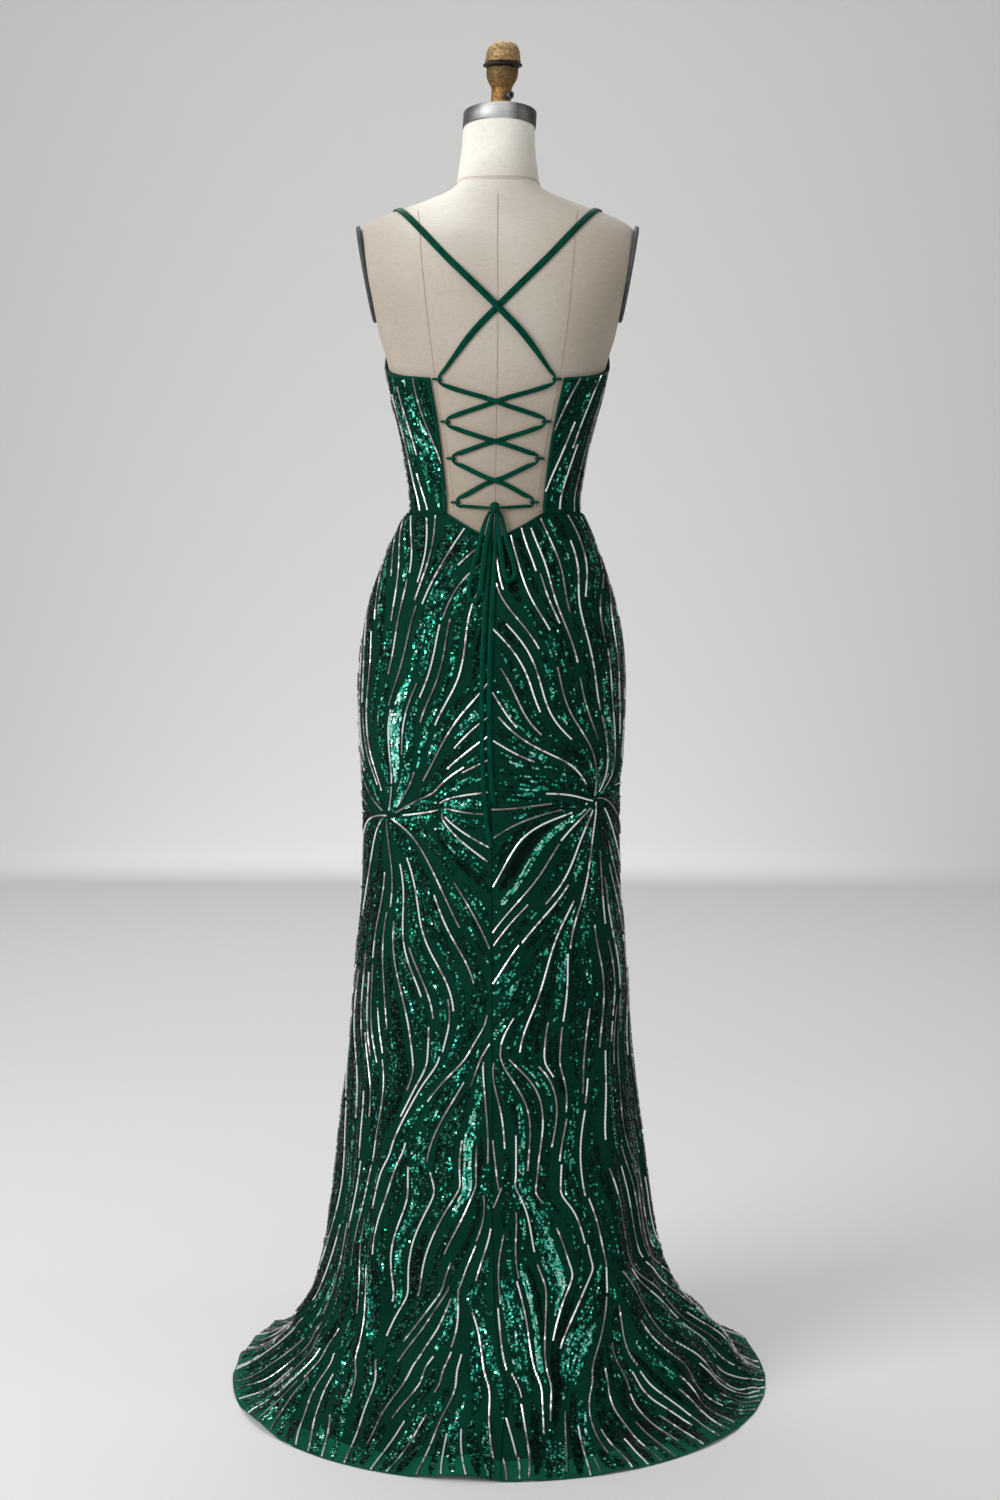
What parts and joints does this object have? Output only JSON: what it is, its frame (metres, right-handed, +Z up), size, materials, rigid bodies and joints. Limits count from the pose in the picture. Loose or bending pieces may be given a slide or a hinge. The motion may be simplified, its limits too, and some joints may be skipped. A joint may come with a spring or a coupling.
{
  "type": "evening gown on dress form",
  "caption": "Floor-length sequinned evening gown with crossed straps, a laced open back and a small train, worn by a limbless dress form on a round foot.",
  "frame": {"origin": "middle of the underside of the stand's foot, on the floor", "axes": "+Z up, the gown's front faces -Y, the wearer's left side is at +X"},
  "size_m": [0.684, 0.731, 1.6831],
  "materials": {
    "sequin_net": "dark green net sewn with green sequins and lines of silver beads, over a green lining",
    "lining": "green matt lining",
    "satin": "dark green satin",
    "linen": "cream linen cover, stretched smooth",
    "steel": "brushed",
    "aged_brass": "aged and dull",
    "black_rubber": "matt black",
    "grey_plate": "matt blue-grey",
    "black_iron": "black paint"
  },
  "bodies": {
    "root": {"bodice_front": "sequin_net", "bodice_back_left": "sequin_net", "bodice_back_right": "sequin_net", "skirt_front": "sequin_net", "skirt_back_left": "sequin_net", "skirt_back_right": "sequin_net", "lining_train": "lining", "binding_front": "satin", "binding_back_left": "satin", "binding_back_right": "satin", "binding_laced_left": "satin", "binding_laced_right": "satin", "strap_lace_left": "satin", "strap_lace_right": "satin", "lace_loop_1_left": "satin", "lace_loop_1_right": "satin", "lace_loop_2_left": "satin", "lace_loop_2_right": "satin", "lace_loop_3_left": "satin", "lace_loop_3_right": "satin", "lace_loop_4_left": "satin", "lace_loop_4_right": "satin", "bow_knot": "satin", "bow_loop_left": "satin", "bow_loop_right": "satin", "bow_tail_left": "satin", "bow_tail_right": "satin", "form_torso": "linen", "form_neck": "linen", "neck_cap": "steel", "knob_stem": "aged_brass", "knob_ring": "black_rubber", "knob_top": "aged_brass", "knob_screw": "steel", "arm_plate_left": "grey_plate", "arm_plate_right": "grey_plate", "stand_pole": "steel", "stand_foot": "black_iron"}
  },
  "joints": []
}
